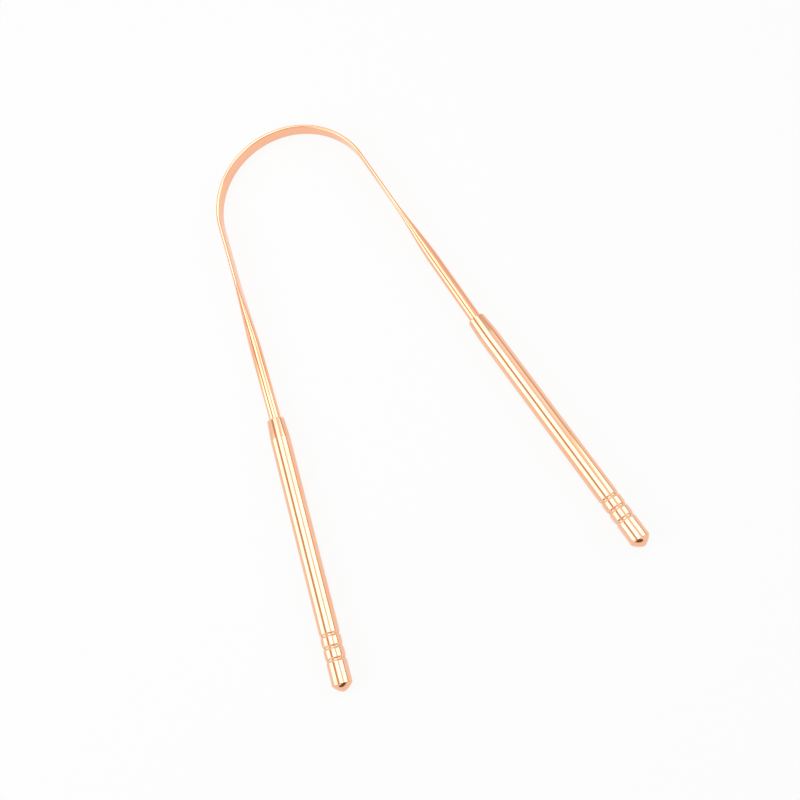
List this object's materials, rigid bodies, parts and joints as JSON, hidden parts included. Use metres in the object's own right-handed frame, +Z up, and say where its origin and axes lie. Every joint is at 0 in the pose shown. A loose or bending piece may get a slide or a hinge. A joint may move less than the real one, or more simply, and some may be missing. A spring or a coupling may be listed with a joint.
{
  "type": "tongue scraper",
  "caption": "U-shaped tongue scraper: a springy flattened copper arch on slim round handles, squeezed or spread in the hand and drawn along the tongue to clean it.",
  "frame": {"origin": "on the table under the middle of the scraper as it lies flat", "axes": "+Y from the handle tips to the arch, +Z up from the table, +X to the right arm"},
  "size_m": [0.0816, 0.141, 0.005],
  "materials": {
    "copper_band": "polished copper",
    "copper_tube": "polished copper",
    "copper_plug": "polished copper"
  },
  "bodies": {
    "bow": {"scraper_bow": "copper_band"},
    "left_arm": {"left_handle": "copper_tube", "left_tip_plug": "copper_plug"},
    "right_arm": {"right_handle": "copper_tube", "right_tip_plug": "copper_plug"}
  },
  "joints": [
    {"name": "left_flex", "type": "hinge", "parent": "bow", "child": "left_arm", "pos_m": [0, 0.04908, 0.0025], "axis": [0, 0, -1], "range_deg": [-8, 6], "stiffness_Nm_per_rad": 0.55, "deforming": ["scraper_bow"]},
    {"name": "right_flex", "type": "hinge", "parent": "bow", "child": "right_arm", "pos_m": [0, 0.04908, 0.0025], "axis": [0, 0, 1], "range_deg": [-8, 6], "stiffness_Nm_per_rad": 0.55, "deforming": ["scraper_bow"]}
  ]
}
